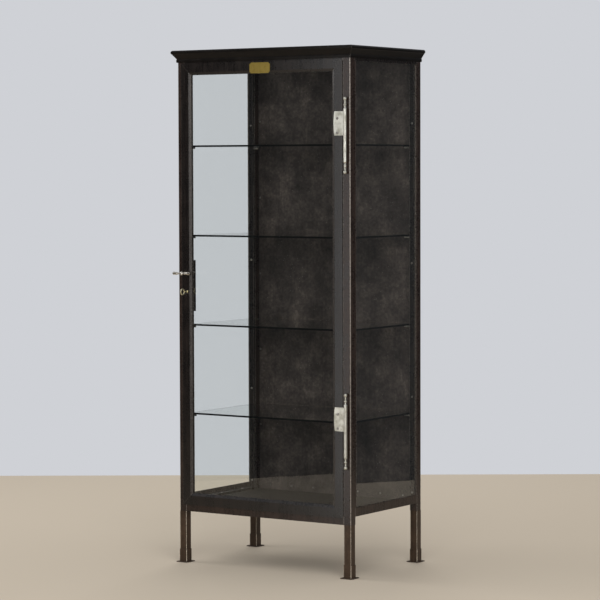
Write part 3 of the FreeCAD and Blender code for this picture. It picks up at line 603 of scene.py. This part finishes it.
def screws(name, body, spots, diameter_mm, metal):
    """Sets one screw head at each spot: a place in millimetres and the way that the head faces."""
    points = bpy.data.meshes.new(name + "_points")
    points.from_pydata([Vector(place) * MM for place, facing in spots], [], [])
    ways = points.attributes.new("facing", "FLOAT_VECTOR", "POINT")
    for number, (place, facing) in enumerate(spots):
        ways.data[number].vector = facing
    maker = bpy.data.objects.new(name + "_points", points)
    bpy.context.scene.collection.objects.link(maker)
    modifier = maker.modifiers.new("screws", "NODES")
    modifier.node_group = SCREWS
    values = {
        "Head Diameter": diameter_mm * MM,
        "Head Height": diameter_mm * HEAD_HEIGHT * MM,
        "Slot Width": diameter_mm * SLOT_WIDTH * MM,
        "Metal": metal,
    }
    for item in SCREWS.interface.items_tree:
        if item.in_out == "INPUT" and item.name in values:
            modifier[item.identifier] = values[item.name]
    ready = maker.evaluated_get(bpy.context.evaluated_depsgraph_get())
    mesh = bpy.data.meshes.new_from_object(ready)
    mesh.name = name
    bpy.data.objects.remove(maker)
    show_piece(name, mesh, body)


def mm_box(name):
    """Lowest and highest corner of a node, in millimetres."""
    low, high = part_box(name)
    return Vector(low) / MM, Vector(high) / MM


def evenly(low, high, count):
    """Evenly spaced values from low to high."""
    return [low + (high - low) * number / (count - 1) for number in range(count)]


# The ways that a screw head can face
FRONT = (0, -1, 0)
REAR = (0, 1, 0)
RIGHT = (1, 0, 0)
UP = (0, 0, 1)
DOWN = (0, 0, -1)

# Glazing bars of the sides: screws at five levels in the upright bars, and three in each level bar
GLAZING_LEVELS = (240, 569, 1026, 1501, 1715)
GLAZING_THICKNESS = 8
GLAZING_END = 70
GLAZING_HEAD = 8
glazing_spots = []
for side in ("left", "right"):
    low, high = mm_box("glazing_bars_" + side)
    middle = (low.x + high.x) / 2
    for level in GLAZING_LEVELS:
        glazing_spots.append(((middle, low.y + GLAZING_THICKNESS, level), REAR))
        glazing_spots.append(((middle, high.y - GLAZING_THICKNESS, level), FRONT))
    for y in evenly(low.y + GLAZING_END, high.y - GLAZING_END, 3):
        glazing_spots.append(((middle, y, low.z + GLAZING_THICKNESS), UP))
        glazing_spots.append(((middle, y, high.z - GLAZING_THICKNESS), DOWN))
screws("glazing_screws", "carcass", glazing_spots, GLAZING_HEAD, bare_steel)

# Back sheet: rows along its lower and upper edges, and down both sides
BACK_ROW_END = 45
BACK_ROW_RISE = 16
BACK_ROW_DROP = 20
BACK_SIDE_END = 230
BACK_SIDE_INSET = 5.5
BACK_HEAD = 7
low, high = mm_box("back_sheet")
back_spots = []
for x in evenly(low.x + BACK_ROW_END, high.x - BACK_ROW_END, 7):
    for z in (low.z + BACK_ROW_RISE, high.z - BACK_ROW_DROP):
        back_spots.append(((x, low.y, z), FRONT))
for z in evenly(low.z + BACK_SIDE_END, high.z - BACK_SIDE_END, 5):
    for x in (low.x + BACK_SIDE_INSET, high.x - BACK_SIDE_INSET):
        back_spots.append(((x, low.y, z), FRONT))
screws("back_screws", "carcass", back_spots, BACK_HEAD, bare_steel)

# Hinge leaves: two screws each
LEAF_INSET = 14.5
LEAF_THICKNESS = 2.5
LEAF_RISES = (9, 56)
LEAF_HEAD = 9
hinge_spots = []
for end in ("upper", "lower"):
    low, high = mm_box("hinge_leaf_" + end)
    for rise in LEAF_RISES:
        hinge_spots.append(((low.x + LEAF_INSET, high.y - LEAF_THICKNESS, low.z + rise), FRONT))
screws("hinge_screws", "door", hinge_spots, LEAF_HEAD, bare_steel)

# Glazing bars of the door, screwed from the inside
BEAD_END = 90
BEAD_INSET = 4
BEAD_HEAD = 5
low, high = mm_box("door_glazing_bars")
bead_spots = []
for z in evenly(low.z + BEAD_END, high.z - BEAD_END, 6):
    for x in (low.x + BEAD_INSET, high.x - BEAD_INSET):
        bead_spots.append(((x, high.y, z), REAR))
for x in evenly(low.x + BEAD_END, high.x - BEAD_END, 4):
    for z in (low.z + BEAD_INSET, high.z - BEAD_INSET):
        bead_spots.append(((x, high.y, z), REAR))
screws("door_bead_screws", "door", bead_spots, BEAD_HEAD, bare_steel)

# Lock case: a screw near each corner
CASE_INSET = 5
CASE_RISE = 6
CASE_HEAD = 5
low, high = mm_box("lock_case")
case_spots = []
for x in (low.x + CASE_INSET, high.x - CASE_INSET):
    for z in (low.z + CASE_RISE, high.z - CASE_RISE):
        case_spots.append(((x, high.y, z), REAR))
screws("lock_screws", "door", case_spots, CASE_HEAD, bare_steel)

# Name plate: a pin at each end
PIN_INSET = 5
PIN_HEAD = 3.5
low, high = mm_box("name_plate")
middle = (low.z + high.z) / 2
pin_spots = [((x, low.y, middle), FRONT) for x in (low.x + PIN_INSET, high.x - PIN_INSET)]
screws("name_plate_pins", "door", pin_spots, PIN_HEAD, brass)

# Strike plate: a screw at each end and one between the openings
STRIKE_END = 3
STRIKE_HEAD = 4
low, high = mm_box("strike_plate")
middle = (low.y + high.y) / 2
strike_levels = (low.z + STRIKE_END, high.z - STRIKE_END, (low.z + high.z) / 2)
strike_spots = [((high.x, middle, z), RIGHT) for z in strike_levels]
screws("strike_screws", "carcass", strike_spots, STRIKE_HEAD, bare_steel)


def balls(name, body, spots, metal):
    """Turned balls and beads: each spot is a place, a radius and half a height, in millimetres."""
    form = bmesh.new()
    for place, radius, half_height in spots:
        shape = Matrix.Translation(Vector(place) * MM)
        shape @= Matrix.Diagonal((radius * MM, radius * MM, half_height * MM, 1))
        bmesh.ops.create_uvsphere(form, u_segments=32, v_segments=16, radius=1.0, matrix=shape)
    mesh = bpy.data.meshes.new(name)
    form.to_mesh(mesh)
    form.free()
    mesh.shade_smooth()
    mesh.materials.append(metal)
    show_piece(name, mesh, body)


# A true ball is this much bigger than the faceted one of the solid, so that it covers it
COVER = 1.02

# Hinge finials: a ball at each tip and a bead further in, on the leaf half above and the frame half below
FINIAL_BALL = 5.8
FINIAL_SEAT = FINIAL_BALL * 0.907
FINIAL_BEAD = 5.2
BEAD_HALF_HEIGHT = 3.6
BEAD_DROP = 25
leaf_spots = []
frame_spots = []
for end in ("upper", "lower"):
    low, high = mm_box("hinge_pin_" + end)
    x = (low.x + high.x) / 2
    y = (low.y + high.y) / 2
    tip = mm_box("hinge_leaf_" + end)[1].z
    leaf_spots.append(((x, y, tip - FINIAL_SEAT), FINIAL_BALL * COVER, FINIAL_BALL * COVER))
    leaf_spots.append(((x, y, tip - BEAD_DROP), FINIAL_BEAD, BEAD_HALF_HEIGHT))
    tip = mm_box("hinge_frame_" + end)[0].z
    frame_spots.append(((x, y, tip + FINIAL_SEAT), FINIAL_BALL * COVER, FINIAL_BALL * COVER))
    frame_spots.append(((x, y, tip + BEAD_DROP), FINIAL_BEAD, BEAD_HALF_HEIGHT))
balls("hinge_leaf_balls", "door", leaf_spots, nickel)
balls("hinge_frame_balls", "carcass", frame_spots, nickel)

# Handle: the ball in the middle of its bar
HANDLE_BALL = 6.75
HANDLE_SEAT = HANDLE_BALL * 0.94
low, high = mm_box("t_handle")
handle_place = ((low.x + high.x) / 2, low.y + HANDLE_SEAT, (low.z + high.z) / 2)
handle_spots = [(handle_place, HANDLE_BALL * COVER, HANDLE_BALL * COVER)]
balls("handle_ball", "handle", handle_spots, handle_metal)

# Camera at the photograph's viewing angle, with the focal length as pixels of its width
YAW = math.radians(33.575)
PITCH = math.radians(3.009)
ROLL = math.radians(-0.162)
FOCAL_PIXELS = 2508.4
PHOTO_WIDTH = 600
SENSOR_WIDTH = 36
CAMERA_PLACE = (4.7359, -7.1164, 1.3501)
ahead = Vector((-math.sin(YAW) * math.cos(PITCH), math.cos(YAW) * math.cos(PITCH), -math.sin(PITCH)))
level_right = Vector((math.cos(YAW), math.sin(YAW), 0))
level_up = level_right.cross(ahead)
rolled_right = level_right * math.cos(ROLL) + level_up * math.sin(ROLL)
rolled_up = level_up * math.cos(ROLL) - level_right * math.sin(ROLL)
lens = bpy.data.cameras.new("photo_camera")
lens.sensor_width = SENSOR_WIDTH
lens.lens = SENSOR_WIDTH * FOCAL_PIXELS / PHOTO_WIDTH
lens.clip_end = 60
camera = bpy.data.objects.new("photo_camera", lens)
turn = Matrix((rolled_right, rolled_up, -ahead)).transposed().to_4x4()
camera.matrix_world = Matrix.Translation(CAMERA_PLACE) @ turn
bpy.context.scene.collection.objects.link(camera)
bpy.context.scene.camera = camera

# Plain pale floor, matt paint, that ends behind the cabinet, where the pale backdrop starts
FLOOR_HALF = 2.45
floor_material, floor_tree = new_material("pale_studio_floor")
floor_paint = add(
    floor_tree,
    "ShaderNodeBsdfPrincipled",
    {"Base Color": colour("#cbbfae"), "Roughness": 0.9, "Specular IOR Level": 0.0},
)
add(floor_tree, "ShaderNodeOutputMaterial", {"Surface": floor_paint.outputs[0]})
floor_mesh = bpy.data.meshes.new("studio_floor")
square_on = Matrix.Rotation(YAW, 3, "Z")
corner_signs = ((-1, -1), (1, -1), (1, 1), (-1, 1))
floor_corners = [square_on @ Vector((x * FLOOR_HALF, y * FLOOR_HALF, 0)) for x, y in corner_signs]
floor_mesh.from_pydata(floor_corners, [], [(0, 1, 2, 3)])
floor_mesh.materials.append(floor_material)
floor = bpy.data.objects.new("studio_floor", floor_mesh)
bpy.context.scene.collection.objects.link(floor)

# Backdrop and soft light: what is mirrored is bright only behind the cabinet and overhead
FILL_STRENGTH = 0.55
BACKDROP_WAY = (-0.5, 0.75, 0.43)
MIRRORED_DIM = 0.1
MIRRORED_BRIGHT = 0.9
world = bpy.data.worlds.new("studio")
bpy.context.scene.world = world
world.use_nodes = True
sky = world.node_tree
sky.nodes.clear()
sky_ray = add(sky, "ShaderNodeLightPath")
seen = add(
    sky,
    "ShaderNodeMath",
    {0: sky_ray.outputs["Is Camera Ray"], 1: sky_ray.outputs["Is Glossy Ray"]},
    operation="MAXIMUM",
)
seen = add(
    sky,
    "ShaderNodeMath",
    {0: seen.outputs[0], 1: sky_ray.outputs["Is Transmission Ray"]},
    operation="MAXIMUM",
)
fill = add(sky, "ShaderNodeBackground", {"Color": colour("#ffffff"), "Strength": FILL_STRENGTH})
way = add(sky, "ShaderNodeTexCoord").outputs["Generated"]
toward = add(sky, "ShaderNodeVectorMath", {0: way, 1: BACKDROP_WAY}, operation="DOT_PRODUCT")
behind = add(
    sky,
    "ShaderNodeMapRange",
    {
        "Value": toward.outputs["Value"],
        "From Min": 0.45,
        "From Max": 0.85,
        "To Min": MIRRORED_DIM,
        "To Max": MIRRORED_BRIGHT,
    },
)
way_parts = add(sky, "ShaderNodeSeparateXYZ", {0: way})
overhead = add(
    sky,
    "ShaderNodeMapRange",
    {
        "Value": way_parts.outputs["Z"],
        "From Min": 0.35,
        "From Max": 0.7,
        "To Min": MIRRORED_DIM,
        "To Max": MIRRORED_BRIGHT,
    },
)
dusk = add(sky, "ShaderNodeMath", {0: behind.outputs[0], 1: overhead.outputs[0]}, operation="MAXIMUM")
mirrored = add(sky, "ShaderNodeMath", {0: sky_ray.outputs["Glossy Depth"], 1: 1.0}, operation="MINIMUM")
strength = add(sky, "ShaderNodeMix", {0: mirrored.outputs[0], 2: 1.0, 3: dusk.outputs[0]}, data_type="FLOAT")
backdrop = add(sky, "ShaderNodeBackground", {"Color": colour("#cfd1d6"), "Strength": strength.outputs[0]})
around = add(sky, "ShaderNodeMixShader", {0: seen.outputs[0], 1: fill.outputs[0], 2: backdrop.outputs[0]})
add(sky, "ShaderNodeOutputWorld", {"Surface": around.outputs[0]})


def passed_by(name, pieces):
    """A collection of pieces that a lamp doesn't light."""
    passed = bpy.data.collections.new(name)
    for piece in pieces:
        passed.objects.link(piece)
    for entry in passed.collection_objects:
        entry.light_linking.link_state = "EXCLUDE"
    return passed


# No lamp shows as a bright square in the glass, and the near one leaves no bright patch on the floor
clear_pieces = [piece for name, piece in nodes.items() if "glass" in name]
PAST_GLASS = passed_by("past_glass", clear_pieces)
PAST_FLOOR = passed_by("past_glass_and_floor", clear_pieces + [floor])


def softbox(name, place, aim, width, height, watts, passed):
    """A rectangular lamp that points at its aim and passes by some pieces. Sizes are in metres."""
    light = bpy.data.lights.new(name, "AREA")
    light.shape = "RECTANGLE"
    light.size = width
    light.size_y = height
    light.energy = watts
    lamp = bpy.data.objects.new(name, light)
    pointed = (Vector(aim) - Vector(place)).to_track_quat("-Z", "Y").to_matrix().to_4x4()
    lamp.matrix_world = Matrix.Translation(place) @ pointed
    lamp.visible_camera = False
    lamp.visible_transmission = False
    lamp.light_linking.receiver_collection = passed
    bpy.context.scene.collection.objects.link(lamp)


softbox("key_light", (2.6, -2.4, 2.9), (0, 0, 0.9), width=1.6, height=1.6, watts=25, passed=PAST_GLASS)
softbox("front_light", (2.7, -4.0, 1.9), (0, 0, 1.2), width=3.0, height=2.4, watts=90, passed=PAST_GLASS)
softbox("fill_light", (-3.2, -1.0, 2.6), (0, 0, 1.0), width=1.6, height=1.6, watts=25, passed=PAST_GLASS)
softbox("back_light", (-1.6, 2.8, 3.0), (0, 0, 0.9), width=1.8, height=1.8, watts=35, passed=PAST_GLASS)
softbox(
    "window_light",
    (-0.384, -1.59, 1.1),
    (0.33, -0.21, 1.1),
    width=0.3,
    height=2.2,
    watts=6.5,
    passed=PAST_FLOOR,
)

bpy.context.scene.view_settings.view_transform = "Standard"
